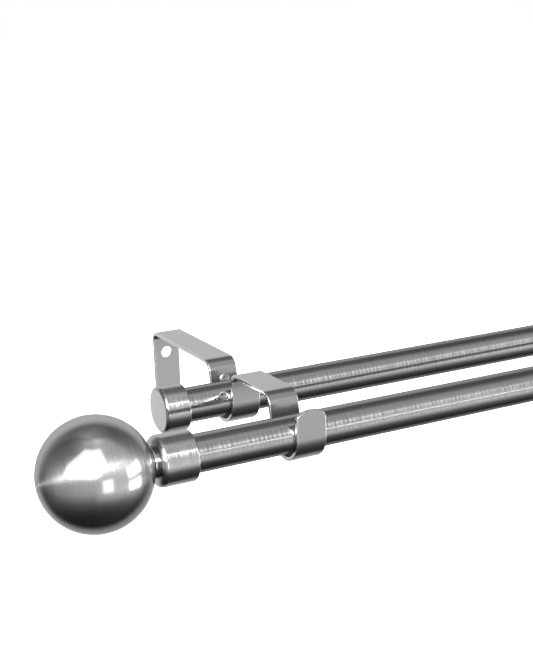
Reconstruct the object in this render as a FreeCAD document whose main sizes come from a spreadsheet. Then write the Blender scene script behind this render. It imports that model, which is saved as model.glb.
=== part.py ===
import FreeCAD, Part
import math
import os
import Sketcher
from FreeCAD import Placement, Rotation, Vector

# A double curtain pole: two tubes on two folded strap brackets, with ball finials on the front
# tube and plain caps on the rear one.
# Frame: +X along the tubes, +Y into the wall, +Z up, wall face at y = 0, origin at the centre of
# the four screw holes of the two wall plates.

doc = FreeCAD.newDocument("DoubleCurtainPole")
sheet = doc.addObject("Spreadsheet::Sheet", "Sizes")

# Driving dimensions, in millimetres, degrees where the name says so
sizes = {
    # Poles, and how far each of them reaches past the middle of a bracket
    "pole_diameter": 16.0,
    "pole_wall": 1.0,
    "rear_pole_overhang": 37.0,
    "front_pole_overhang": 62.0,
    # Places of the poles
    "wall_to_rear_pole": 84.0,
    "pole_spacing": 60.0,
    "arm_rise": 14.0,
    # Distance between the middles of the two brackets
    "bracket_spacing": 1126.0,
    # Folded strap
    "strap_width": 14.0,
    "strap_thickness": 1.8,
    "strap_edge_radius": 0.4,
    "strap_corner_radius": 1.2,
    "plate_height": 48.0,
    "plate_hole_diameter": 6.0,
    "plate_hole_inset": 12.0,
    "upright_bend_radius": 4.8,
    "leg_bend_radius": 6.3,
    "leg_slant_degrees": 11.0,
    "hook_play": 4.0,
    "tongue_rise": 12.4,
    "tongue_crown_radius": 10.0,
    # Clamp screws of the hooks
    "clamp_screw_diameter": 5.0,
    "clamp_screw_length": 8.0,
    "clamp_tip_projection": 1.5,
    "rear_clamp_rise": 5.0,
    "front_clamp_rise": 1.0,
    # Sleeves on the pole ends
    "sleeve_clearance": 0.15,
    "end_gap": 0.3,
    "collar_wall": 2.55,
    "collar_overlap": 11.5,
    "collar_end_wall": 4.2,
    "collar_shoulder_radius": 2.5,
    "cap_wall": 2.5,
    "cap_overlap": 9.6,
    "cap_end_wall": 2.1,
    "cap_edge_radius": 0.9,
    "mouth_edge_radius": 0.3,
    # Ball and what joins it to the collar
    "ball_diameter": 46.5,
    "ball_wall": 1.2,
    "neck_diameter": 13.0,
    "neck_length": 1.4,
    "spigot_diameter": 9.2,
    "spigot_length": 8.0,
    "spigot_clearance": 0.05,
    "stud_diameter": 6.0,
    "stud_engagement": 6.0,
    "thread_clearance": 0.05,
    # Grub screws of the sleeves
    "sleeve_screw_diameter": 4.0,
    "sleeve_screw_inset": 5.0,
    "sleeve_screw_sink": 0.2,
    # Sockets and chamfers of all screws, as shares of the screw's diameter
    "socket_share": 0.5,
    "socket_depth_share": 0.45,
    "tip_chamfer_share": 0.1,
}

for row, (alias, value) in enumerate(sizes.items(), 1):
    sheet.set(f"A{row}", alias)
    sheet.set(f"B{row}", str(value))
    sheet.setAlias(f"B{row}", alias)
doc.recompute()

# Places that follow from the sizes, as expressions of the sheet
plate_top = "Sizes.plate_height / 2"
pole_z = "(Sizes.plate_height / 2 - Sizes.arm_rise)"
rear_y = "(-Sizes.wall_to_rear_pole)"
front_y = "(-Sizes.wall_to_rear_pole - Sizes.pole_spacing)"
pole_radius = "(Sizes.pole_diameter / 2)"
hook_radius = "(Sizes.pole_diameter / 2 + Sizes.hook_play / 2)"
slant = "(Sizes.leg_slant_degrees * 1 deg)"
bore_radius = "(Sizes.pole_diameter / 2 + Sizes.sleeve_clearance)"
collar_face = "(Sizes.end_gap + Sizes.collar_end_wall)"
ball_seat = f"({collar_face} + Sizes.neck_length)"
opening_radius = "(Sizes.spigot_diameter / 2 + Sizes.spigot_clearance)"
ball_centre = f"({ball_seat} + sqrt((Sizes.ball_diameter / 2) ^ 2 - {opening_radius} ^ 2))"
bracket_x = "(Sizes.bracket_spacing / 2)"
rear_pole_end = f"({bracket_x} + Sizes.rear_pole_overhang)"
front_pole_end = f"({bracket_x} + Sizes.front_pole_overhang)"
sides = {"left": -1, "right": 1}


def number(expression):
    return float(sheet.evalExpression(str(expression)))


def place(piece, x, y, z, rotation=Rotation()):
    piece.Placement = Placement(Vector(), rotation)
    for axis, expression in zip("xyz", (x, y, z)):
        piece.setExpression(f"Placement.Base.{axis}", expression)


def sketch_on(body, role, name):
    sketch = body.newObject("Sketcher::SketchObject", name)
    plane = next(feature for feature in body.Origin.OriginFeatures if feature.Role == role)
    sketch.AttachmentSupport = [(plane, "")]
    sketch.MapMode = "FlatFace"
    return sketch


def closed_outline(sketch, corners):
    # Each corner is a pair of expressions, and both of its coordinates are bound to them
    points = [Vector(number(across), number(up), 0) for across, up in corners]
    for index, point in enumerate(points):
        sketch.addGeometry(Part.LineSegment(point, points[(index + 1) % len(points)]))
    for index, corner in enumerate(corners):
        sketch.addConstraint(Sketcher.Constraint("Coincident", index, 2, (index + 1) % len(points), 1))
        for kind, coordinate, expression in zip(("DistanceX", "DistanceY"), points[index], corner):
            bound = sketch.addConstraint(Sketcher.Constraint(kind, -1, 1, index, 1, coordinate))
            sketch.setExpression(f"Constraints[{bound}]", expression)


def turned_body(label, corners):
    # The half section, in pairs of place along X and radius, turned about the X axis
    body = doc.addObject("PartDesign::Body", label)
    section = sketch_on(body, "XZ_Plane", f"{label}_section")
    closed_outline(section, corners)
    turning = body.newObject("PartDesign::Revolution", f"{label}_turning")
    turning.Profile = section
    turning.ReferenceAxis = (section, ["H_Axis"])
    turning.Angle = 360
    doc.recompute()
    return body


def rounded_ring(body, along, radius, rounding):
    # Rounds the circular edge of that radius that lies at that place along X
    tolerance = 1e-4
    names = []
    for index, edge in enumerate(body.Shape.Edges, 1):
        ring = edge.Curve
        if not isinstance(ring, Part.Circle):
            continue
        if abs(ring.Radius - number(radius)) > tolerance or abs(ring.Center.x - number(along)) > tolerance:
            continue
        names.append(f"Edge{index}")
    base = body.Tip
    fillet = body.newObject("PartDesign::Fillet", f"{body.Name}_rounding")
    fillet.Base = (base, names)
    fillet.setExpression("Radius", rounding)
    doc.recompute()


def grub_screw(label, diameter, length):
    # Tip at x = 0, hexagon socket at the other end
    radius = f"({diameter} / 2)"
    chamfer = f"({diameter} * Sizes.tip_chamfer_share)"
    body = turned_body(label, [
        ("0", "0"),
        (length, "0"),
        (length, f"{radius} - {chamfer}"),
        (f"{length} - {chamfer}", radius),
        (chamfer, radius),
        ("0", f"{radius} - {chamfer}"),
    ])
    corner_radius = f"{diameter} * Sizes.socket_share / 2 / cos(30 deg)"
    hexagon = sketch_on(body, "YZ_Plane", f"{label}_hexagon")
    hexagon.setExpression("AttachmentOffset.Base.z", length)
    closed_outline(hexagon, [
        (f"{corner_radius} * cos({angle} deg)", f"{corner_radius} * sin({angle} deg)")
        for angle in range(0, 360, 60)
    ])
    full_volume = body.Shape.Volume
    socket = body.newObject("PartDesign::Pocket", f"{label}_socket")
    socket.Profile = hexagon
    socket.setExpression("Length", f"{diameter} * Sizes.socket_depth_share")
    doc.recompute()
    assert body.Shape.Volume < full_volume, f"{label}: the socket cuts nothing"
    return body


def tube(label, end, y):
    inner = f"{pole_radius} - Sizes.pole_wall"
    body = turned_body(label, [
        (f"-{end}", inner),
        (end, inner),
        (end, pole_radius),
        (f"-{end}", pole_radius),
    ])
    place(body, "0", y, pole_z)
    return body


def hook_centre(pole_y):
    # The hook is wider than the pole, which lies against its front leg
    return f"({pole_y} + Sizes.hook_play / 2)"


def leg_foot(pole_y):
    # Where the slanting leg meets the hook's round bottom, on the pole's side
    return f"({hook_centre(pole_y)} + {hook_radius} * cos({slant}))"


def screw_place(pole_y, rise, offset):
    # A place on a clamp screw's axis: how far above the pole's axis the screw crosses the leg, and
    # how far towards the pole from the leg's face the place lies
    across = f"({leg_foot(pole_y)} + ({rise} + {hook_radius} * sin({slant})) * tan({slant}))"
    return f"{across} - {offset} * cos({slant})", f"{pole_z} + {rise} + {offset} * sin({slant})"


def arc(sketch, centre_y, centre_z, radius, first, last):
    circle = Part.Circle(Vector(centre_y, centre_z, 0), Vector(0, 0, 1), radius)
    return sketch.addGeometry(Part.ArcOfCircle(circle, math.radians(first), math.radians(last)))


def line(sketch, start, end):
    return sketch.addGeometry(Part.LineSegment(Vector(*start, 0), Vector(*end, 0)))


def strap_path(name):
    # The strap's wall-side, top and pole-side face, one line from the foot of the wall plate to
    # the tip of the tongue. Sketch x is the frame's Y, and sketch y is its Z.
    sketch = doc.addObject("Sketcher::SketchObject", name)
    sketch.Placement = Placement(Vector(), Rotation(Vector(1, 1, 1), 120))
    top = number(plate_top)
    upright = number("Sizes.upright_bend_radius")
    leg_bend = number("Sizes.leg_bend_radius")
    radius = number(hook_radius)
    axis_z = number(pole_z)
    angle = number("Sizes.leg_slant_degrees")
    lean = math.radians(angle)
    order = []

    def then(geometry, start, end):
        # Joins the new piece to the one before it, tangent to it
        if order:
            last, last_end = order[-1]
            sketch.addConstraint(Sketcher.Constraint("Tangent", last, last_end, geometry, start))
        order.append((geometry, end))
        return geometry

    def bound(kind, *where):
        expression = where[-1]
        index = sketch.addConstraint(Sketcher.Constraint(kind, *where[:-1], number(expression)))
        sketch.setExpression(f"Constraints[{index}]", expression)

    upright_y = 0.0
    plate = then(line(sketch, (0, -top), (0, top - upright)), 1, 2)
    sketch.addConstraint(Sketcher.Constraint("Vertical", plate))
    sketch.addConstraint(Sketcher.Constraint("PointOnObject", plate, 1, -2))
    bound("DistanceY", -1, 1, plate, 1, "-Sizes.plate_height / 2")
    for pole_y in (rear_y, front_y):
        centre_y = number(hook_centre(pole_y))
        foot_y = number(leg_foot(pole_y))
        foot_z = axis_z - radius * math.sin(lean)
        bend_y = foot_y + (top - leg_bend - foot_z) * math.tan(lean) + leg_bend / math.cos(lean)
        tangent_y = bend_y - leg_bend * math.cos(lean)
        tangent_z = top - leg_bend + leg_bend * math.sin(lean)
        bend = then(arc(sketch, upright_y - upright, top - upright, upright, 0, 90), 1, 2)
        arm = then(line(sketch, (upright_y - upright, top), (bend_y, top)), 1, 2)
        leg_top = then(arc(sketch, bend_y, top - leg_bend, leg_bend, 90, 180 - angle), 1, 2)
        leg = then(line(sketch, (tangent_y, tangent_z), (foot_y, foot_z)), 1, 2)
        hook = then(arc(sketch, centre_y, axis_z, radius, -180, -angle), 2, 1)
        upright_y = centre_y - radius
        is_last = pole_y == front_y
        end_z = axis_z + number("Sizes.tongue_rise") if is_last else top - upright
        front_leg = then(line(sketch, (upright_y, axis_z), (upright_y, end_z)), 1, 2)
        sketch.addConstraint(Sketcher.Constraint("Horizontal", arm))
        sketch.addConstraint(Sketcher.Constraint("Vertical", front_leg))
        bound("DistanceY", -1, 1, arm, 1, plate_top)
        bound("Radius", bend, "Sizes.upright_bend_radius")
        bound("Radius", leg_top, "Sizes.leg_bend_radius")
        bound("Radius", hook, hook_radius)
        bound("DistanceX", -1, 1, hook, 3, hook_centre(pole_y))
        bound("DistanceY", -1, 1, hook, 3, pole_z)
        bound("DistanceX", -1, 1, leg, 2, leg_foot(pole_y))
    bound("DistanceY", -1, 1, front_leg, 2, f"{pole_z} + Sizes.tongue_rise")
    return sketch


def cylinder(name, radius, height, x, y, z, rotation=Rotation()):
    tool = doc.addObject("Part::Cylinder", name)
    tool.setExpression("Radius", radius)
    tool.setExpression("Height", height)
    place(tool, x, y, z, rotation)
    return tool


def cut(name, base, tool):
    result = doc.addObject("Part::Cut", name)
    result.Base = base
    result.Tool = tool
    return result


def tongue_trim(name):
    # What is taken off the tongue's top corners, which leaves a crown of a large radius
    crown_z = f"{pole_z} + Sizes.tongue_rise - Sizes.tongue_crown_radius"
    tongue_y = f"({front_y} - {pole_radius})"
    through = "Sizes.strap_thickness * 3"
    block = doc.addObject("Part::Box", f"{name}_block")
    block.setExpression("Length", "Sizes.strap_width * 2")
    block.setExpression("Width", through)
    block.setExpression("Height", "Sizes.tongue_crown_radius * 2")
    place(block, "-Sizes.strap_width", f"{tongue_y} - Sizes.strap_thickness * 2", crown_z)
    crown = cylinder(
        f"{name}_crown", "Sizes.tongue_crown_radius", through,
        "0", f"{tongue_y} + Sizes.strap_thickness", crown_z, Rotation(Vector(1, 0, 0), 90),
    )
    return cut(name, block, crown)


def clamp_direction():
    # From the tip of a clamp screw to its socket: square to the leg, away from the pole
    return Rotation(Vector(0, 0, 1), 90).multiply(Rotation(Vector(0, 1, 0), number("Sizes.leg_slant_degrees")))


def side_edges(shape, across):
    # Edges in the strap's two side faces: those across its thickness, or else the long ones
    half_width = number("Sizes.strap_width") / 2
    tolerance = 1e-4
    chosen = []
    for index, edge in enumerate(shape.Edges, 1):
        ends = [vertex.Point for vertex in edge.Vertexes]
        in_side_face = all(abs(abs(end.x) - half_width) < tolerance for end in ends)
        is_across = abs(edge.Length - number("Sizes.strap_thickness")) < tolerance
        if in_side_face and is_across == across and abs(ends[0].x - ends[-1].x) < tolerance:
            chosen.append(index)
    return chosen


def filleted(name, base, edges, radius):
    doc.recompute()
    fillet = doc.addObject("Part::Fillet", name)
    fillet.Base = base
    fillet.Edges = [(index, number(radius), number(radius)) for index in edges(base.Shape)]
    return fillet


def bracket(side):
    path = strap_path(f"{side}_strap_path")
    strip = doc.addObject("Part::Offset2D", f"{side}_strap_strip")
    strip.Source = path
    strip.Mode = "Skin"
    strip.Fill = True
    strip.setExpression("Value", "-Sizes.strap_thickness")
    strap = doc.addObject("Part::Extrusion", f"{side}_strap")
    strap.Base = strip
    strap.DirMode = "Custom"
    strap.Dir = Vector(1, 0, 0)
    strap.setExpression("LengthFwd", "Sizes.strap_width")
    strap.Symmetric = True
    strap.Solid = True
    shaped = cut(f"{side}_strap_crowned", strap, tongue_trim(f"{side}_tongue_trim"))
    for end, sign in (("upper", 1), ("lower", -1)):
        hole_z = f"{sign} * (Sizes.plate_height / 2 - Sizes.plate_hole_inset)"
        drill = cylinder(
            f"{side}_{end}_drill", "Sizes.plate_hole_diameter / 2", "Sizes.strap_thickness * 3",
            "0", "Sizes.strap_thickness", hole_z, Rotation(Vector(1, 0, 0), 90),
        )
        shaped = cut(f"{side}_{end}_hole", shaped, drill)
    for pole, pole_y in (("rear", rear_y), ("front", front_y)):
        start_y, start_z = screw_place(pole_y, f"Sizes.{pole}_clamp_rise", "Sizes.strap_thickness")
        tapping = cylinder(
            f"{side}_{pole}_tap_drill",
            "Sizes.clamp_screw_diameter / 2 + Sizes.thread_clearance", "Sizes.strap_thickness * 3",
            "0", start_y, start_z, clamp_direction().multiply(Rotation(Vector(0, 1, 0), 90)),
        )
        shaped = cut(f"{side}_{pole}_tapping", shaped, tapping)
    cornered = filleted(
        f"{side}_strap_cornered", shaped,
        lambda shape: side_edges(shape, True), "Sizes.strap_corner_radius",
    )
    rounded = filleted(
        f"{side}_bracket", cornered,
        lambda shape: side_edges(shape, False), "Sizes.strap_edge_radius",
    )
    place(rounded, f"{sides[side]} * {bracket_x}", "0", "0")
    return rounded


def outward(side):
    # Turned end pieces are made with +X pointing away from the pole
    return Rotation(Vector(0, 0, 1), 0 if side == "right" else 180)


def end_place(piece, side, pole_end, pole_y):
    place(piece, f"{sides[side]} * {pole_end}", pole_y, pole_z, outward(side))
    return piece


def finial_collar(side):
    outer = f"({bore_radius} + Sizes.collar_wall)"
    mouth = "-Sizes.collar_overlap"
    tapped = "(Sizes.stud_diameter / 2 + Sizes.thread_clearance)"
    body = turned_body(f"{side}_finial_collar", [
        (mouth, bore_radius),
        ("Sizes.end_gap", bore_radius),
        ("Sizes.end_gap", tapped),
        (collar_face, tapped),
        (collar_face, outer),
        (mouth, outer),
    ])
    rounded_ring(body, collar_face, outer, "Sizes.collar_shoulder_radius")
    rounded_ring(body, mouth, outer, "Sizes.mouth_edge_radius")
    screw_hole(body, mouth)
    return end_place(body, side, front_pole_end, front_y)


def end_cap(side):
    outer = f"({bore_radius} + Sizes.cap_wall)"
    mouth = "-Sizes.cap_overlap"
    face = "(Sizes.end_gap + Sizes.cap_end_wall)"
    body = turned_body(f"{side}_end_cap", [
        (mouth, bore_radius),
        ("Sizes.end_gap", bore_radius),
        ("Sizes.end_gap", "0"),
        (face, "0"),
        (face, outer),
        (mouth, outer),
    ])
    rounded_ring(body, face, outer, "Sizes.cap_edge_radius")
    rounded_ring(body, mouth, outer, "Sizes.mouth_edge_radius")
    screw_hole(body, mouth)
    return end_place(body, side, rear_pole_end, rear_y)


def screw_hole(body, mouth):
    # Radial hole for the grub screw, underneath, a set distance in from the sleeve's mouth
    sketch = sketch_on(body, "XY_Plane", f"{body.Name}_screw_place")
    along = f"{mouth} + Sizes.sleeve_screw_inset"
    radius = "Sizes.sleeve_screw_diameter / 2 + Sizes.thread_clearance"
    ring = sketch.addGeometry(Part.Circle(Vector(number(along), 0, 0), Vector(0, 0, 1), number(radius)))
    across = sketch.addConstraint(Sketcher.Constraint("DistanceX", -1, 1, ring, 3, number(along)))
    sketch.addConstraint(Sketcher.Constraint("PointOnObject", ring, 3, -1))
    size = sketch.addConstraint(Sketcher.Constraint("Radius", ring, number(radius)))
    sketch.setExpression(f"Constraints[{across}]", along)
    sketch.setExpression(f"Constraints[{size}]", radius)
    full_volume = body.Shape.Volume
    pocket = body.newObject("PartDesign::Pocket", f"{body.Name}_screw_hole")
    pocket.Profile = sketch
    pocket.setExpression("Length", "Sizes.pole_diameter * 2")
    doc.recompute()
    assert body.Shape.Volume < full_volume, f"{body.Name}: the screw hole cuts nothing"


def sleeve_screw(label, side, wall, overlap, pole_end, pole_y):
    # Its tip touches the pole, and its socket end lies just under the sleeve's surface
    length = f"({wall} + Sizes.sleeve_clearance - Sizes.sleeve_screw_sink)"
    body = grub_screw(label, "Sizes.sleeve_screw_diameter", length)
    inward = f"({pole_end} - {overlap} + Sizes.sleeve_screw_inset)"
    place(
        body, f"{sides[side]} * {inward}", pole_y, f"{pole_z} - {pole_radius}",
        Rotation(Vector(0, 1, 0), 90),
    )
    return body


def ball(side):
    label = f"{side}_ball"
    outside = doc.addObject("Part::Sphere", f"{label}_outside")
    outside.setExpression("Radius", "Sizes.ball_diameter / 2")
    inside = doc.addObject("Part::Sphere", f"{label}_inside")
    inside.setExpression("Radius", "Sizes.ball_diameter / 2 - Sizes.ball_wall")
    opening = cylinder(
        f"{label}_opening", opening_radius, "Sizes.ball_diameter",
        "-Sizes.ball_diameter", "0", "0", Rotation(Vector(0, 1, 0), 90),
    )
    shell = cut(label, cut(f"{label}_hollow", outside, inside), opening)
    along = f"{sides[side]} * ({front_pole_end} + {ball_centre})"
    place(shell, along, front_y, pole_z, outward(side))
    return shell


def ball_neck(side):
    bore = "(Sizes.stud_diameter / 2 + Sizes.thread_clearance)"
    tip = f"({ball_seat} + Sizes.spigot_length)"
    body = turned_body(f"{side}_ball_neck", [
        (collar_face, bore),
        (tip, bore),
        (tip, "Sizes.spigot_diameter / 2"),
        (ball_seat, "Sizes.spigot_diameter / 2"),
        (ball_seat, "Sizes.neck_diameter / 2"),
        (collar_face, "Sizes.neck_diameter / 2"),
    ])
    return end_place(body, side, front_pole_end, front_y)


def finial_stud(side):
    radius = "(Sizes.stud_diameter / 2)"
    chamfer = "(Sizes.stud_diameter * Sizes.tip_chamfer_share)"
    tip = f"({ball_seat} + Sizes.stud_engagement)"
    body = turned_body(f"{side}_finial_stud", [
        ("Sizes.end_gap", "0"),
        (tip, "0"),
        (tip, f"{radius} - {chamfer}"),
        (f"{tip} - {chamfer}", radius),
        (f"Sizes.end_gap + {chamfer}", radius),
        ("Sizes.end_gap", f"{radius} - {chamfer}"),
    ])
    return end_place(body, side, front_pole_end, front_y)


def clamp_screw(side, pole, pole_y):
    body = grub_screw(f"{side}_{pole}_clamp_screw", "Sizes.clamp_screw_diameter", "Sizes.clamp_screw_length")
    tip_y, tip_z = screw_place(pole_y, f"Sizes.{pole}_clamp_rise", "Sizes.clamp_tip_projection")
    place(body, f"{sides[side]} * {bracket_x}", tip_y, tip_z, clamp_direction())
    return body


pieces = [
    tube("front_pole", front_pole_end, front_y),
    tube("rear_pole", rear_pole_end, rear_y),
]
for side in sides:
    pieces.append(bracket(side))
    pieces.append(finial_collar(side))
    pieces.append(ball(side))
    pieces.append(ball_neck(side))
    pieces.append(finial_stud(side))
    pieces.append(end_cap(side))
    pieces.append(clamp_screw(side, "rear", rear_y))
    pieces.append(clamp_screw(side, "front", front_y))
    pieces.append(sleeve_screw(
        f"{side}_collar_screw", side, "Sizes.collar_wall", "Sizes.collar_overlap",
        front_pole_end, front_y,
    ))
    pieces.append(sleeve_screw(
        f"{side}_cap_screw", side, "Sizes.cap_wall", "Sizes.cap_overlap",
        rear_pole_end, rear_y,
    ))

doc.recompute()
for item in doc.Objects:
    assert not {"Invalid", "Error"} & set(item.State), f"{item.Name} failed: {item.State}"
for piece in pieces:
    shape = piece.Shape
    assert not shape.isNull() and shape.isValid(), f"{piece.Label} has no valid shape"
    assert len(shape.Solids) == 1, f"{piece.Label} is not one solid"

os.makedirs("parts", exist_ok=True)
for piece in pieces:
    piece.Shape.exportStep(f"parts/{piece.Label}.step")
    print(piece.Label, round(piece.Shape.Volume, 1))
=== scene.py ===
import math
import bmesh
import bpy
from mathutils import Matrix, Vector


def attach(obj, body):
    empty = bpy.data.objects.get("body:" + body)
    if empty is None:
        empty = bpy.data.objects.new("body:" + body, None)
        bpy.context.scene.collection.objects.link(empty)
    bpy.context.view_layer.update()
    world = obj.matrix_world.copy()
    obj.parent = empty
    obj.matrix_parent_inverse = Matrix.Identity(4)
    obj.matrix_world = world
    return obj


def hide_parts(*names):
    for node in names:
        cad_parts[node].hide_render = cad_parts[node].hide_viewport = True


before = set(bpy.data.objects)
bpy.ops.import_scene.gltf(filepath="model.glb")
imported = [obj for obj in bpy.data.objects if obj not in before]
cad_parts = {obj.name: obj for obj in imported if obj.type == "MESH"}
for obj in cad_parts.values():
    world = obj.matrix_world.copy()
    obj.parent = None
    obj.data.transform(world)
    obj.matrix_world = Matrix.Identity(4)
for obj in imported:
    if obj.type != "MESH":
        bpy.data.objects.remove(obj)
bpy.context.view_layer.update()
mm = 0.001
sides = {"left": -1, "right": 1}
print("frame loaded,", len(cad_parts), "nodes")

# Lengths that count as none: the first in m, the others in mm
tolerance = {"merge": 1e-7, "along": 1e-3, "radius": 1e-2}

# The two poles, as the CAD part has them, in mm. Each edge, here and below, is its rounding and the
# segments of that.
poles = {
    "radius": 8.0, "wall": 1.0, "height": 10.0, "segments": 96,
    "outerEdge": (0.25, 3), "innerEdge": (0.15, 2),
    "front": {"y": -144.0, "end": 625.0},
    "rear": {"y": -84.0, "end": 600.0},
}


class Wire:
    # One socket of a node tree. Python arithmetic on it adds Math nodes.
    def __init__(self, tree, socket=None):
        self.tree = tree
        self.socket = socket

    def node(self, kind, settings=None, inputs=None, output=0):
        made = self.tree.nodes.new(kind)
        for name, value in (settings or {}).items():
            if name == "stops":
                ramp = made.color_ramp.elements
                while len(ramp) < len(value):
                    ramp.new(1.0)
                for stop, (position, shade) in zip(ramp, value):
                    stop.position = position
                    stop.color = (shade, shade, shade, 1.0)
            else:
                setattr(made, name, value)
        for name, value in (inputs or {}).items():
            if isinstance(value, Wire):
                self.tree.links.new(value.socket, made.inputs[name])
            else:
                made.inputs[name].default_value = value
        return Wire(self.tree, made.outputs[output])

    def maths(self, operation, first, second=0.0):
        return self.node("ShaderNodeMath", {"operation": operation}, {0: first, 1: second})

    def __add__(self, other):
        return self.maths("ADD", self, other)

    def __sub__(self, other):
        return self.maths("SUBTRACT", self, other)

    def __rsub__(self, other):
        return self.maths("SUBTRACT", other, self)

    def __mul__(self, other):
        return self.maths("MULTIPLY", self, other)

    __radd__ = __add__
    __rmul__ = __mul__

    def spread(self, low, high, bottom=0.0, top=1.0, smooth=False):
        # Moves the range low..high to bottom..top, held at both ends
        return self.node(
            "ShaderNodeMapRange",
            {"interpolation_type": "SMOOTHSTEP" if smooth else "LINEAR"},
            {"Value": self, "From Min": low, "From Max": high, "To Min": bottom, "To Max": top},
        )

    def noise(self, scale, pattern):
        # self is a vector; scale has three numbers, unequal for a stretched pattern
        placed = self.node("ShaderNodeMapping", {}, {"Vector": self, "Scale": scale})
        detail, roughness = pattern
        return self.node("ShaderNodeTexNoise", {}, {
            "Vector": placed, "Scale": 1.0, "Detail": detail, "Roughness": roughness,
        }, "Fac")

    def axis(self, name):
        return self.node("ShaderNodeSeparateXYZ", {}, {0: self}, name)


# What all the metals share: each pattern's detail and roughness, and how the scratches add up
grain = {
    "lines": (3.0, 0.6), "fine": (2.0, 0.5), "cloud": (3.0, 0.5),
    "fineScale": 3.1, "fineShare": 0.5, "scratchRange": (0.65, 0.85), "tickShare": 0.6,
}


def metal(name, look):
    # Polished metal crossed by fine scratches, which spread light along the X axis
    material = bpy.data.materials.new(name)
    material.use_nodes = True
    tree = material.node_tree
    tree.nodes.clear()
    start = Wire(tree)
    place = start.node("ShaderNodeTexCoord", output="Object")
    fine = place.noise(tuple(grain["fineScale"] * part for part in look["lines"]), grain["fine"])
    cloud = place.noise(look["cloud"], grain["cloud"])
    scratches = place.noise(look["lines"], grain["lines"]) + fine * grain["fineShare"]
    bump = start.node("ShaderNodeBump", {}, {
        "Strength": look["bumpStrength"], "Distance": look["bumpDepth"], "Height": scratches,
    }, "Normal")
    tone = (1 + (fine - 0.5) * look["lineShade"] + (cloud - 0.5) * look["cloudShade"]) * look["base"]
    if "edge" in look:
        # painted highlight: the tone is raised along the strap's cut sides, where their edges catch the
        # light
        edge = look["edge"]
        offset = place.maths("ABSOLUTE", place.maths("ABSOLUTE", place.axis("X")) - edge["centre"] * mm)
        tone = tone + offset.spread(edge["from"] * mm, edge["to"] * mm) * edge["lift"]
    colour = start.node("ShaderNodeCombineColor", {}, {0: tone, 1: tone, 2: tone}, "Color")
    shared = {
        "Metallic": 1.0, "Base Color": colour, "Normal": bump,
        "Specular Tint": (look["rim"], look["rim"], look["rim"], 1.0),
    }
    polished = start.node("ShaderNodeBsdfPrincipled", {}, {
        **shared, "Roughness": (cloud - 0.5) * look["cloudRoughness"] + look["polish"],
    }, "BSDF")
    scratched = start.node("ShaderNodeBsdfPrincipled", {}, {
        **shared, "Roughness": look["scratch"], "Anisotropic": look["anisotropy"],
    }, "BSDF")
    low, high = look["scratched"]
    share = scratches.spread(*grain["scratchRange"], low, high)
    if "ticks" in look:
        # deeper scratches at a nearly even distance along X
        ticks, part = look["ticks"], grain["tickShare"]
        phase = place.axis("X") * (math.tau / (ticks["pitch"] * mm)) + cloud * ticks["wander"]
        share = share * part + place.maths("SINE", phase).spread(0.0, 1.0, 0.0, high * part)
    mixed = start.node("ShaderNodeMixShader", {}, {0: share, 1: polished, 2: scratched})
    out = tree.nodes.new("ShaderNodeOutputMaterial")
    tree.links.new(mixed.socket, out.inputs["Surface"])
    return material


# Base is the tone face on and rim the tone edge on. Polish and scratch are the roughness of the two
# layers, and scratched is how much of the second one shows. Lines and cloud are patterns per metre.
looks = {
    "tube": {
        "base": 0.34, "rim": 0.4, "polish": 0.14, "scratch": 0.27, "anisotropy": 0.95,
        "scratched": (0.02, 0.46), "lines": (780.0, 60.0, 60.0), "cloud": (30.0, 60.0, 60.0),
        "ticks": {"pitch": 2.1, "wander": 9.0}, "bumpStrength": 0.02, "bumpDepth": 0.00005,
        "lineShade": 0.03, "cloudShade": 0.04, "cloudRoughness": 0.02,
    },
    "turned": {
        "base": 0.42, "rim": 0.7, "polish": 0.15, "scratch": 0.28, "anisotropy": 0.95,
        "scratched": (0.02, 0.5), "lines": (900.0, 40.0, 40.0), "cloud": (60.0, 60.0, 60.0),
        "bumpStrength": 0.03, "bumpDepth": 0.00005, "lineShade": 0.04, "cloudShade": 0.04,
        "cloudRoughness": 0.02,
    },
    "capFace": {
        "base": 0.62, "rim": 0.8, "polish": 0.24, "scratch": 0.4, "anisotropy": 0.0,
        "scratched": (0.3, 0.5), "lines": (900.0, 900.0, 900.0), "cloud": (60.0, 60.0, 60.0),
        "bumpStrength": 0.01, "bumpDepth": 0.00003, "lineShade": 0.02, "cloudShade": 0.05,
        "cloudRoughness": 0.02,
    },
    "ball": {
        "base": 0.42, "rim": 0.6, "polish": 0.14, "scratch": 0.4, "anisotropy": 0.95,
        "scratched": (0.22, 0.34), "lines": (1100.0, 20.0, 20.0), "cloud": (40.0, 40.0, 40.0),
        "bumpStrength": 0.02, "bumpDepth": 0.00005, "lineShade": 0.03, "cloudShade": 0.08,
        "cloudRoughness": 0.03,
    },
    "neck": {
        "base": 0.42, "rim": 0.7, "polish": 0.14, "scratch": 0.3, "anisotropy": 0.9,
        "scratched": (0.1, 0.7), "lines": (700.0, 15.0, 15.0), "cloud": (60.0, 60.0, 60.0),
        "bumpStrength": 0.03, "bumpDepth": 0.00005, "lineShade": 0.04, "cloudShade": 0.04,
        "cloudRoughness": 0.02,
    },
    "strap": {
        "base": 0.35, "rim": 0.85, "polish": 0.18, "scratch": 0.28, "anisotropy": 0.0,
        "scratched": (0.2, 0.35), "lines": (1500.0, 1500.0, 1500.0), "cloud": (70.0, 70.0, 70.0),
        "bumpStrength": 0.006, "bumpDepth": 0.00003, "lineShade": 0.02, "cloudShade": 0.05,
        # edge raises the base colour along the cut sides: a painted highlight
        "cloudRoughness": 0.03, "edge": {"centre": 563.0, "from": 6.3, "to": 6.8, "lift": 0.22},
    },
    "screw": {
        "base": 0.5, "rim": 0.8, "polish": 0.25, "scratch": 0.4, "anisotropy": 0.0,
        "scratched": (0.2, 0.8), "lines": (1500.0, 1500.0, 1500.0), "cloud": (200.0, 200.0, 200.0),
        "bumpStrength": 0.05, "bumpDepth": 0.00003, "lineShade": 0.1, "cloudShade": 0.1,
        "cloudRoughness": 0.06,
    },
}
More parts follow.
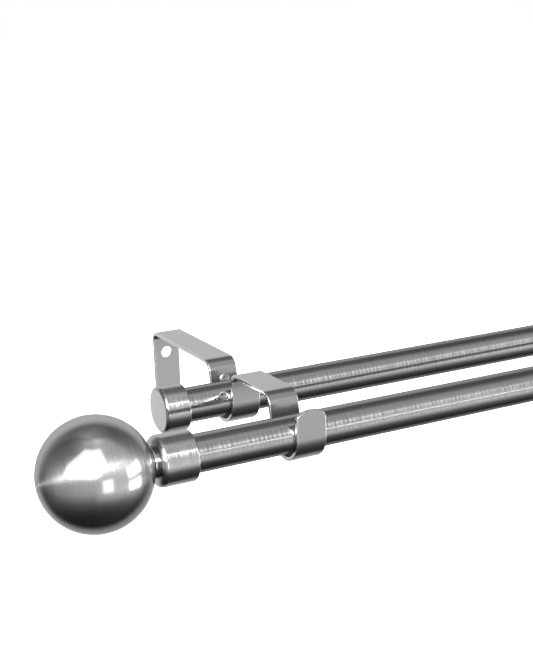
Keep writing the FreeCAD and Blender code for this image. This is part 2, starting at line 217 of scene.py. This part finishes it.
finishes = {name: metal(name + "Metal", look) for name, look in looks.items()}
print("materials made:", len(finishes))


# Faces that meet at a wider angle than sharpFrom stay sharp. The metal's grain follows the texture
# space, which is far off and stretched along X, so that it runs round X on every piece.
surface = {"sharpFrom": 38.0, "grainPlace": (0.0, -100.0, 0.0), "grainSize": (1000.0, 1.0, 1.0)}


def asPiece(name, mesh, finish, replaced):
    # A finished bmesh becomes a piece that stands for a CAD node
    data = bpy.data.meshes.new(name)
    bmesh.ops.recalc_face_normals(mesh, faces=mesh.faces)
    mesh.to_mesh(data)
    mesh.free()
    data.polygons.foreach_set("use_smooth", [True] * len(data.polygons))
    data.set_sharp_from_angle(angle=math.radians(surface["sharpFrom"]))
    data.use_auto_texspace = False
    data.texspace_location = surface["grainPlace"]
    data.texspace_size = surface["grainSize"]
    piece = bpy.data.objects.new(name, data)
    bpy.context.scene.collection.objects.link(piece)
    data.materials.append(finishes[finish])
    weighted = piece.modifiers.new("faceNormals", "WEIGHTED_NORMAL")
    weighted.keep_sharp = True
    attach(piece, "root")
    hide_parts(replaced)
    return piece


def turned(outline, segments):
    # Spins a closed outline of (along X, radius) points in mm round the X axis
    mesh = bmesh.new()
    ring = [mesh.verts.new((along * mm, 0.0, radius * mm)) for along, radius in outline]
    edges = [mesh.edges.new((ring[index - 1], ring[index])) for index in range(len(ring))]
    bmesh.ops.spin(
        mesh, geom=ring + edges, cent=(0, 0, 0), axis=(1, 0, 0), dvec=(0, 0, 0),
        angle=math.tau, steps=segments, use_merge=True, use_duplicate=False,
    )
    bmesh.ops.remove_doubles(mesh, verts=mesh.verts, dist=tolerance["merge"])
    loose = [edge for edge in mesh.edges if not edge.link_faces]
    bmesh.ops.delete(mesh, geom=loose, context="EDGES")
    return mesh


def ringEdges(mesh, along, radius):
    # The edges of one ring of a turned mesh, at a place along X and a radius in mm
    def onRing(vert):
        away = math.hypot(vert.co.y, vert.co.z) / mm - radius
        return abs(vert.co.x / mm - along) < tolerance["along"] and abs(away) < tolerance["radius"]

    return [edge for edge in mesh.edges if onRing(edge.verts[0]) and onRing(edge.verts[1])]


def bevelled(mesh, edges, rounding, segments):
    bmesh.ops.bevel(
        mesh, geom=edges, offset=rounding * mm, offset_type="OFFSET", segments=segments, profile=0.5,
        affect="EDGES", material=-1, clamp_overlap=False,
    )


def rounded(mesh, along, radius, rounding, segments):
    bevelled(mesh, ringEdges(mesh, along, radius), rounding, segments)


def drilled(mesh, cutter):
    # Cuts one closed bmesh out of another
    holders = []
    for shape in (mesh, cutter):
        bmesh.ops.recalc_face_normals(shape, faces=shape.faces)
        data = bpy.data.meshes.new("cutting")
        shape.to_mesh(data)
        shape.free()
        holders.append(bpy.data.objects.new("cutting", data))
        bpy.context.scene.collection.objects.link(holders[-1])
    blank, tool = holders
    cut = blank.modifiers.new("cut", "BOOLEAN")
    cut.object = tool
    cut.solver = "EXACT"
    result = bmesh.new()
    result.from_object(blank, bpy.context.evaluated_depsgraph_get())
    for holder in holders:
        bpy.data.objects.remove(holder)
    return result


def addDrill(mesh, radius, depth, place):
    # A round cutter along Z, put in place by a matrix; sizes in mm
    bmesh.ops.create_cone(
        mesh, cap_ends=True, segments=screws["segments"],
        radius1=radius * mm, radius2=radius * mm, depth=depth * mm, matrix=place,
    )


def placed(mesh, side, end, y, z):
    # From the pole-end frame, +X away from the pole, into the object's frame
    turn = Matrix.Rotation(math.pi, 4, "Z") if side == "left" else Matrix.Identity(4)
    shift = Matrix.Translation((sides[side] * end * mm, y * mm, z * mm))
    bmesh.ops.transform(mesh, matrix=shift @ turn, verts=mesh.verts)
    return mesh


def pole(which):
    run = poles[which]
    outer, inner, end = poles["radius"], poles["radius"] - poles["wall"], run["end"]
    mesh = turned([(-end, inner), (end, inner), (end, outer), (-end, outer)], poles["segments"])
    for place in (-end, end):
        rounded(mesh, place, outer, *poles["outerEdge"])
        rounded(mesh, place, inner, *poles["innerEdge"])
    bmesh.ops.translate(mesh, vec=(0, run["y"] * mm, poles["height"] * mm), verts=mesh.verts)
    return asPiece(which + "Pole", mesh, "tube", which + "_pole")


# The pieces that each strip light shines on
receivers = {"poles": [pole(which) for which in ("front", "rear")], "sleeves": []}
print("poles built")


# Sizes in mm; shares are of the screw's diameter. Each tip is a place (y, z) on the pole's side of
# a leg, and the slant is the leg's.
screws = {
    "segments": 48, "clearance": 0.05, "drillDepth": 8.0,
    "chamferShare": 0.1, "socketShare": 0.5, "socketDepthShare": 0.45,
    "cupShare": 0.3, "cupDepthShare": 0.1, "pitchShare": 0.16, "threadShare": 0.08,
    "clamp": {
        "diameter": 5.0, "length": 8.0, "x": 563.0, "slant": 11.0,
        "tips": {"rear": (-72.313, 15.286), "front": (-133.091, 11.286)},
    },
    "sleeve": {"diameter": 4.0, "inset": 5.0, "sink": 0.2},
    "stud": {"diameter": 6.0, "start": 0.3, "end": 11.9},
}


def thread(start, end, diameter):
    # Outline points of a row of V grooves between two places along X
    turns = round((end - start) / (diameter * screws["pitchShare"]))
    crest, root = diameter / 2, diameter * (0.5 - screws["threadShare"])
    pitch = (end - start) / turns
    points = [(start, crest)]
    for turn in range(turns):
        points += [(start + (turn + 0.5) * pitch, root), (start + (turn + 1) * pitch, crest)]
    return points


def grubScrew(diameter, length):
    # Cup point at x = 0, hexagon socket at the other end
    chamfer = diameter * screws["chamferShare"]
    cup = diameter * screws["cupShare"]
    socket = diameter * screws["socketShare"] / 2 / math.cos(math.radians(30.0))
    bottom = length - diameter * screws["socketDepthShare"]
    mesh = turned([
        (diameter * screws["cupDepthShare"], 0.0), (0.0, cup), (0.0, diameter / 2 - chamfer),
        *thread(chamfer, length - chamfer, diameter),
        (length, diameter / 2 - chamfer), (length, socket), (bottom, socket), (bottom, 0.0),
    ], screws["segments"])
    for vert in mesh.verts:
        # the socket's round wall is drawn in to the flats of a hexagon
        away = math.hypot(vert.co.y, vert.co.z) / mm - socket
        if vert.co.x > (bottom - tolerance["radius"]) * mm and abs(away) < tolerance["along"]:
            corner = math.degrees(math.atan2(vert.co.z, vert.co.y)) % 60.0 - 30.0
            inward = math.cos(math.radians(30.0)) / math.cos(math.radians(corner))
            vert.co.y *= inward
            vert.co.z *= inward
    return mesh


def clampScrew(side, which):
    size = screws["clamp"]
    mesh = grubScrew(size["diameter"], size["length"])
    tilt = Matrix.Rotation(math.radians(size["slant"]), 4, "Y")
    turn = Matrix.Rotation(math.radians(90.0), 4, "Z") @ tilt
    shift = Matrix.Translation(Vector((sides[side] * size["x"], *size["tips"][which])) * mm)
    bmesh.ops.transform(mesh, matrix=shift @ turn, verts=mesh.verts)
    return asPiece(f"{side}{which.title()}ClampScrew", mesh, "screw", f"{side}_{which}_clamp_screw")


def sleeveScrew(side, which, sleeve, run):
    # Its tip touches the pole from below, and its socket lies just under the sleeve's surface
    size, radius = screws["sleeve"], poles["radius"]
    mesh = grubScrew(size["diameter"], sleeve["outer"] - radius - size["sink"])
    down = Matrix.Rotation(math.radians(90.0), 4, "Y")
    along = sleeve["mouth"] + size["inset"]
    shift = Matrix.Translation(Vector((along, 0.0, -radius)) * mm)
    bmesh.ops.transform(mesh, matrix=shift @ down, verts=mesh.verts)
    placed(mesh, side, run["end"], run["y"], poles["height"])
    return asPiece(f"{side}{which.title()}Screw", mesh, "screw", f"{side}_{which}_screw")


def finialStud(side):
    size = screws["stud"]
    diameter = size["diameter"]
    chamfer = diameter * screws["chamferShare"]
    mesh = turned([
        (size["start"], 0.0), (size["start"], diameter / 2 - chamfer),
        *thread(size["start"] + chamfer, size["end"] - chamfer, diameter),
        (size["end"], diameter / 2 - chamfer), (size["end"], 0.0),
    ], screws["segments"])
    placed(mesh, side, poles["front"]["end"], poles["front"]["y"], poles["height"])
    return asPiece(side + "FinialStud", mesh, "screw", side + "_finial_stud")


# Places are along X from the pole's end, and the sleeve's mouth is the open end that the pole goes in
sleeves = {
    "bore": 8.15, "segments": 128, "mouthEdge": (0.8, 4), "boreEdge": (0.15, 2),
    "collar": {
        "outer": 10.7, "mouth": -11.5, "gap": 0.3, "face": 4.5, "tapped": 3.05,
        "shoulder": (2.5, 10), "tappedEdge": (0.3, 2),
    },
    "cap": {"outer": 10.65, "mouth": -9.6, "gap": 0.3, "face": 2.4, "edge": (1.5, 6)},
}


def finishedSleeve(mesh, side, run, size):
    # Rounds the mouth, drills the screw hole underneath and puts the sleeve on its pole
    rounded(mesh, size["mouth"], size["outer"], *sleeves["mouthEdge"])
    rounded(mesh, size["mouth"], sleeves["bore"], *sleeves["boreEdge"])
    hole = bmesh.new()
    middle = (sleeves["bore"] + size["outer"]) / 2
    place = Vector((size["mouth"] + screws["sleeve"]["inset"], 0.0, -middle)) * mm
    radius = screws["sleeve"]["diameter"] / 2 + screws["clearance"]
    addDrill(hole, radius, screws["drillDepth"], Matrix.Translation(place))
    return placed(drilled(mesh, hole), side, run["end"], run["y"], poles["height"])


def collar(side):
    size = sleeves["collar"]
    bore = sleeves["bore"]
    mesh = turned([
        (size["mouth"], bore), (size["gap"], bore), (size["gap"], size["tapped"]),
        (size["face"], size["tapped"]), (size["face"], size["outer"]), (size["mouth"], size["outer"]),
    ], sleeves["segments"])
    rounded(mesh, size["face"], size["outer"], *size["shoulder"])
    rounded(mesh, size["face"], size["tapped"], *size["tappedEdge"])
    mesh = finishedSleeve(mesh, side, poles["front"], size)
    return asPiece(side + "FinialCollar", mesh, "turned", side + "_finial_collar")


def endCap(side):
    size = sleeves["cap"]
    bore = sleeves["bore"]
    mesh = turned([
        (size["mouth"], bore), (size["gap"], bore), (size["gap"], 0.0), (size["face"], 0.0),
        (size["face"], size["outer"]), (size["mouth"], size["outer"]),
    ], sleeves["segments"])
    rounded(mesh, size["face"], size["outer"], *size["edge"])
    mesh = finishedSleeve(mesh, side, poles["rear"], size)
    face = sides[side] * (poles["rear"]["end"] + size["face"])
    for part in mesh.faces:
        if all(abs(vert.co.x / mm - face) < tolerance["along"] for vert in part.verts):
            part.material_index = 1
    cap = asPiece(side + "EndCap", mesh, "turned", side + "_end_cap")
    cap.data.materials.append(finishes["capFace"])
    return cap


# The ball and the neck that it is seated on, with places along X from the pole's end
finial = {
    "radius": 23.25, "wall": 1.2, "opening": 4.65, "seat": 5.9, "segments": (144, 96),
    "neck": {
        "radius": 6.5, "spigot": 4.6, "bore": 3.05, "face": 4.5, "tip": 13.9,
        "segments": 96, "edge": (0.2, 3),
    },
}


def ball(side):
    centre = finial["seat"] + math.sqrt(finial["radius"] ** 2 - finial["opening"] ** 2)
    mesh = bmesh.new()
    around, along = finial["segments"]
    bmesh.ops.create_uvsphere(mesh, u_segments=around, v_segments=along, radius=finial["radius"] * mm)
    bmesh.ops.rotate(mesh, matrix=Matrix.Rotation(math.radians(90.0), 3, "Y"), verts=mesh.verts)
    bmesh.ops.bisect_plane(
        mesh, geom=mesh.verts[:] + mesh.edges[:] + mesh.faces[:], clear_inner=True,
        plane_co=((finial["seat"] - centre) * mm, 0, 0), plane_no=(1, 0, 0),
    )
    bmesh.ops.recalc_face_normals(mesh, faces=mesh.faces)
    bmesh.ops.solidify(mesh, geom=mesh.faces[:], thickness=finial["wall"] * mm)
    bmesh.ops.translate(mesh, vec=(centre * mm, 0, 0), verts=mesh.verts)
    placed(mesh, side, poles["front"]["end"], poles["front"]["y"], poles["height"])
    return asPiece(side + "Ball", mesh, "ball", side + "_ball")


def neck(side):
    size = finial["neck"]
    mesh = turned([
        (size["face"], size["bore"]), (size["tip"], size["bore"]), (size["tip"], size["spigot"]),
        (finial["seat"], size["spigot"]), (finial["seat"], size["radius"]), (size["face"], size["radius"]),
    ], size["segments"])
    for along in (size["face"], finial["seat"]):
        rounded(mesh, along, size["radius"], *size["edge"])
    placed(mesh, side, poles["front"]["end"], poles["front"]["y"], poles["height"])
    return asPiece(side + "BallNeck", mesh, "neck", side + "_ball_neck")


for side in sides:
    receivers["sleeves"] += [collar(side), endCap(side)]
    ball(side)
    neck(side)
    finialStud(side)
    for which in ("rear", "front"):
        clampScrew(side, which)
    sleeveScrew(side, "collar", sleeves["collar"], poles["front"])
    sleeveScrew(side, "cap", sleeves["cap"], poles["rear"])
print("sleeves, finials and screws built")


# One folded strap, from the foot of the wall plate to the tip of the tongue. Sizes are in mm, angles in
# degrees, and each hook's middle lies by the play nearer to the wall than its pole.
strap = {
    "width": 14.0, "thickness": 1.8, "top": 24.0, "bend": 4.8, "legBend": 6.3, "slant": 11.0,
    "hook": 10.0, "play": 2.0, "tongueRise": 12.4, "crown": 10.0,
    "crownSteps": (40.0, 36.0, 30.0, 24.0, 17.0, 10.0), "foldStep": 5.0,
    "corner": (1.2, 3), "edge": (0.4054, 4), "sharpFrom": 60.0,
    "hole": {"radius": 3.0, "z": 12.0}, "tapping": 2.55, "drillDepth": 7.2,
}


def newest(made):
    # The end face of what was just made, with its edges and corners, to go on from
    face = next(part for part in made if isinstance(part, bmesh.types.BMFace))
    return [face, *face.edges, *face.verts]


def straight(mesh, end, along, up):
    end = newest(bmesh.ops.extrude_face_region(mesh, geom=end)["geom"])
    bmesh.ops.translate(mesh, vec=Vector((0.0, along, up)) * mm, verts=end[0].verts)
    return end


def folded(mesh, end, y, z, angle):
    # Bends the strap round a line along X at (y, z)
    made = bmesh.ops.spin(
        mesh, geom=end, cent=Vector((0.0, y, z)) * mm, axis=(1, 0, 0), dvec=(0, 0, 0),
        angle=math.radians(angle), steps=max(2, round(abs(angle) / strap["foldStep"])),
        use_merge=False, use_duplicate=False,
    )
    return newest(made["geom_last"])


def hook(mesh, end, upright, which):
    # From the top of an upright over to the pole, down the slanted leg and round below the pole. Foot and
    # leg are (y, z): the lower end of the leg and its run.
    bend, legBend, slant = strap["bend"], strap["legBend"], strap["slant"]
    c, s = math.cos(math.radians(slant)), math.sin(math.radians(slant))
    middle = poles[which]["y"] + strap["play"]
    foot = Vector((middle + strap["hook"] * c, poles["height"] - strap["hook"] * s))
    over = foot.x + (strap["top"] - legBend - foot.y) * s / c + legBend / c
    leg = foot - Vector((over - legBend * c, strap["top"] - legBend + legBend * s))
    end = folded(mesh, end, upright - bend, strap["top"] - bend, 90.0)
    end = straight(mesh, end, over - upright + bend, 0.0)
    end = folded(mesh, end, over, strap["top"] - legBend, 90.0 - slant)
    end = straight(mesh, end, leg.x, leg.y)
    return folded(mesh, end, middle, poles["height"], slant - 180.0)


def crown(mesh, end):
    # The tongue narrows to a round top. Its straight sides end a corner's size below the arc.
    middle = poles["height"] + strap["tongueRise"] - strap["crown"]
    half = strap["width"] / 2
    height = middle + math.sqrt(strap["crown"] ** 2 - half ** 2) - strap["corner"][0]
    end = straight(mesh, end, 0.0, height - poles["height"])
    for angle in strap["crownSteps"]:
        across = strap["crown"] * math.sin(math.radians(angle))
        up = middle + strap["crown"] * math.cos(math.radians(angle))
        end = straight(mesh, end, 0.0, up - height)
        bmesh.ops.scale(mesh, vec=(across / half, 1.0, 1.0), verts=end[0].verts)
        half, height = across, up


def cornerEdges(mesh):
    # The two short edges at the foot of the wall plate, which run through the thickness
    bottom = (tolerance["along"] - strap["top"]) * mm
    feet = [edge for edge in mesh.edges if max(vert.co.z for vert in edge.verts) < bottom]
    return [edge for edge in feet if edge.verts[0].co.x == edge.verts[1].co.x]


def longEdges(mesh):
    # All sharp edges but the straight ones across its two ends
    sharp = math.radians(strap["sharpFrom"])
    return [
        edge for edge in mesh.edges
        if edge.calc_face_angle(0.0) > sharp
        and (edge.verts[0].co - edge.verts[1].co).yz.length > tolerance["merge"]
    ]


def bracket(side):
    mesh = bmesh.new()
    bmesh.ops.create_grid(mesh, x_segments=1, y_segments=1, size=1.0)
    half = Vector((strap["width"], strap["thickness"], 0.0)) * (mm / 2)
    bmesh.ops.scale(mesh, vec=half, verts=mesh.verts)
    bmesh.ops.translate(mesh, vec=(0.0, -half.y, -strap["top"] * mm), verts=mesh.verts)
    end = newest(mesh.faces)
    upright, low = 0.0, -strap["top"]
    for which in ("rear", "front"):
        end = straight(mesh, end, 0.0, strap["top"] - strap["bend"] - low)
        end = hook(mesh, end, upright, which)
        upright, low = poles[which]["y"] + strap["play"] - strap["hook"], poles["height"]
    crown(mesh, end)
    bevelled(mesh, cornerEdges(mesh), *strap["corner"])
    bevelled(mesh, longEdges(mesh), *strap["edge"])

    holes = bmesh.new()
    through = Matrix.Rotation(math.radians(90.0), 4, "X")  # turns a drill from Z to Y
    for z in (-strap["hole"]["z"], strap["hole"]["z"]):
        place = Matrix.Translation((0.0, 0.0, z * mm))
        addDrill(holes, strap["hole"]["radius"], strap["drillDepth"], place @ through)
    tilt = Matrix.Rotation(-math.radians(strap["slant"]), 4, "X")
    for tip in screws["clamp"]["tips"].values():
        place = Matrix.Translation(Vector((0.0, *tip)) * mm)
        addDrill(holes, strap["tapping"], strap["drillDepth"], place @ tilt @ through)
    mesh = drilled(mesh, holes)
    bmesh.ops.translate(mesh, vec=(sides[side] * screws["clamp"]["x"] * mm, 0, 0), verts=mesh.verts)
    return asPiece(side + "Bracket", mesh, "strap", side + "_bracket")


for side in sides:
    bracket(side)
print("brackets built")


# Sizes in metres. The floor glows a little, so that it stays as pale as the wall.
floorLook = {"size": 40.0, "squares": 8, "height": -0.4, "tone": 0.9, "roughness": 0.9, "glow": 0.9}


def whiteFloor():
    mesh = bmesh.new()
    squares, tone = floorLook["squares"], floorLook["tone"]
    bmesh.ops.create_grid(mesh, x_segments=squares, y_segments=squares, size=floorLook["size"])
    data = bpy.data.meshes.new("studioFloor")
    mesh.to_mesh(data)
    mesh.free()
    floor = bpy.data.objects.new("studioFloor", data)
    floor.location.z = floorLook["height"]
    bpy.context.scene.collection.objects.link(floor)
    material = bpy.data.materials.new("paleFloor")
    material.use_nodes = True
    shader = material.node_tree.nodes["Principled BSDF"]
    shader.inputs["Base Color"].default_value = (tone, tone, tone, 1.0)
    shader.inputs["Roughness"].default_value = floorLook["roughness"]
    shader.inputs["Emission Color"].default_value = (1.0, 1.0, 1.0, 1.0)
    shader.inputs["Emission Strength"].default_value = floorLook["glow"]
    data.materials.append(material)
    floor.visible_glossy = False


# What stands round the object, by direction. Side is degrees to the right of the camera and height is
# degrees above level, both as the object faces the camera. Lights have soft edges of so many degrees.
studio = {
    "wallByHeight": [
        (-90, 0.035), (-60, 0.06), (-48, 0.12), (-36, 0.26), (-26, 0.55), (-18, 0.85), (-5, 1.0),
        (15, 0.9), (30, 0.6), (52, 0.42), (70, 0.9), (80, 1.4), (90, 1.3),
    ],
    "wallBySide": [
        (-180, 0.45), (-150, 0.5), (-120, 0.6), (-105, 0.3), (-95, 0.4), (-60, 0.6), (-30, 0.75),
        (0, 0.75), (50, 1.05), (90, 1.0), (110, 0.55), (120, 0.38), (135, 0.33), (150, 0.38), (180, 0.45),
    ],
    # white sheets behind and under the object, seen in the rims of the round pieces
    "sheets": {
        "wall": {"side": -170, "height": -6, "inner": 32, "outer": 68, "strength": 1.15},
        "table": {"side": -177, "height": -28, "inner": 24, "outer": 58, "strength": 0.8},
    },
    "lights": {
        "softBox": {
            "side": (-54, 38), "height": (13, 67), "soft": 6, "strength": 2.4,
            "cuts": ((1.0, -0.893, 1.3), (-1.46, 1.0, 109.0)),  # times side, times height, and the limit
        },
        "softBoxMiddle": {"side": (-26, 16), "height": (17, 38), "soft": 8, "strength": 8.0},
        "softBoxCore": {"side": (-8, 8), "height": (22, 30), "soft": 3, "strength": 150.0},
        "wing": {"side": (38, 78), "height": (26, 31), "soft": 3, "strength": 0.7},
        "upperPane": {"side": (73, 106), "height": (-2, 14), "soft": 3, "strength": 4.0},
        "lowerPane": {"side": (73, 102), "height": (-22, -8), "soft": 3, "strength": 4.0},
        "nearPane": {"side": (21, 41), "height": (-17, 7), "soft": 4, "strength": 2.2},
        "lowRight": {"side": (10, 110), "height": (-34, -12), "soft": 16, "strength": 0.25},
        "highRight": {"side": (42, 100), "height": (30, 62), "soft": 16, "strength": 0.2},
        "lowLeftShade": {"side": (-120, -76), "height": (-26, -4), "soft": 14, "strength": -0.12},
    },
    # Narrow strip lights, each for the pieces that it draws a line on; places in m
    "strips": {
        "poles": {"ends": ((-0.15, -1.644, 0.37), (2.6, -1.644, -0.87)), "width": 0.04, "power": 2.6},
        "sleeves": {"ends": ((-0.9, -1.644, 1.3), (0.9, -1.644, 1.1)), "width": 0.06, "power": 3.5},
    },
}
# Where the camera stands as the object sees it, in degrees clockwise from +Y
cameraSide = 207.0


def direction(side, height):
    around, up = math.radians(cameraSide - side), math.radians(height)
    return Vector((
        math.sin(around) * math.cos(up), math.cos(around) * math.cos(up), math.sin(up),
    ))


def between(value, ends, soft):
    # 1 between two ends, falling softly to 0 outside
    low, high = ends
    rise = value.spread(low - soft / 2, low + soft / 2, smooth=True)
    fall = value.spread(high - soft / 2, high + soft / 2, 1.0, 0.0, smooth=True)
    return rise * fall


def studioWorld():
    world = bpy.data.worlds.new("studio")
    bpy.context.scene.world = world
    world.use_nodes = True
    tree = world.node_tree
    tree.nodes.clear()
    place = Wire(tree).node("ShaderNodeTexCoord", output="Generated")

    def along(axis):
        return place.node(
            "ShaderNodeVectorMath", {"operation": "DOT_PRODUCT"}, {0: place, 1: axis}, "Value",
        )

    side = place.maths("ARCTAN2", along(direction(90, 0)), along(direction(0, 0))) * math.degrees(1)
    height = place.maths("ARCSINE", along(direction(0, 90))) * math.degrees(1)
    wall = None
    walls = ((height, 90, studio["wallByHeight"]), (side, 180, studio["wallBySide"]))
    for value, reach, levels in walls:
        stops = [((angle + reach) / (2 * reach), level) for angle, level in levels]
        shade = place.node("ShaderNodeValToRGB", {"stops": stops}, {0: value * (0.5 / reach) + 0.5})
        wall = shade if wall is None else wall * shade
    light = wall
    for sheet in studio["sheets"].values():
        inner, outer = (math.cos(math.radians(sheet[edge])) for edge in ("inner", "outer"))
        paper = along(direction(sheet["side"], sheet["height"])).spread(outer, inner, smooth=True)
        light = place.maths("MAXIMUM", light, paper * sheet["strength"])
    for panel in studio["lights"].values():
        soft = panel["soft"]
        shape = between(side, panel["side"], soft) * between(height, panel["height"], soft)
        for sideways, upward, limit in panel.get("cuts", ()):
            cut = side * sideways + height * upward
            shape = shape * cut.spread(limit - soft / 2, limit + soft / 2, 1.0, 0.0, smooth=True)
        light = light + shape * panel["strength"]
    white = (1.0, 1.0, 1.0, 1.0)
    backdrop = place.node("ShaderNodeBackground", {}, {"Color": white, "Strength": 1.0})
    room = place.node("ShaderNodeBackground", {}, {"Color": white, "Strength": light})
    seen = place.node("ShaderNodeLightPath", output="Is Camera Ray")
    mixed = place.node("ShaderNodeMixShader", {}, {0: seen, 1: room, 2: backdrop})
    out = tree.nodes.new("ShaderNodeOutputWorld")
    tree.links.new(mixed.socket, out.inputs["Surface"])


def stripLights(receivers):
    for name, strip in studio["strips"].items():
        start, end = (Vector(place) for place in strip["ends"])
        data = bpy.data.lights.new(name + "Strip", "AREA")
        data.shape = "RECTANGLE"
        data.size, data.size_y = (end - start).length, strip["width"]
        data.energy = strip["power"]
        light = bpy.data.objects.new(name + "Strip", data)
        bpy.context.scene.collection.objects.link(light)
        across = (end - start).normalized()
        facing = Vector((0.0, 1.0, 0.0))
        turn = Matrix((across, facing.cross(across), -facing)).transposed().to_4x4()
        light.matrix_world = Matrix.Translation((start + end) / 2) @ turn
        light.visible_camera = False
        group = bpy.data.collections.new(name + "Lit")
        for piece in receivers[name]:
            group.objects.link(piece)
        light.light_linking.receiver_collection = group


# Where the camera stands, in m, how it is turned, in radians, and its lens and sensor, in mm
view = {
    "place": (-0.79426, -0.56867, 0.17861),
    "yaw": 0.4722, "pitch": 0.2539, "roll": -0.0349,
    "lens": 65.91, "sensor": 36.0, "clip": (0.01, 100.0),
}


def camera():
    data = bpy.data.cameras.new("camera")
    data.lens = view["lens"]
    data.sensor_width = view["sensor"]
    data.clip_start, data.clip_end = view["clip"]
    eye = bpy.data.objects.new("camera", data)
    bpy.context.scene.collection.objects.link(eye)
    yaw, pitch, roll = view["yaw"], view["pitch"], view["roll"]
    forward = Vector((
        math.sin(yaw) * math.cos(pitch), math.cos(yaw) * math.cos(pitch), -math.sin(pitch),
    ))
    across = Vector((math.cos(yaw), -math.sin(yaw), 0.0))
    up = across.cross(forward)
    rolled = across * math.cos(roll) + up * math.sin(roll)
    top = up * math.cos(roll) - across * math.sin(roll)
    turn = Matrix((rolled, top, -forward)).transposed().to_4x4()
    eye.matrix_world = Matrix.Translation(view["place"]) @ turn
    bpy.context.scene.camera = eye


whiteFloor()
studioWorld()
stripLights(receivers)
camera()
bpy.context.scene.view_settings.view_transform = "Standard"
print("studio set")
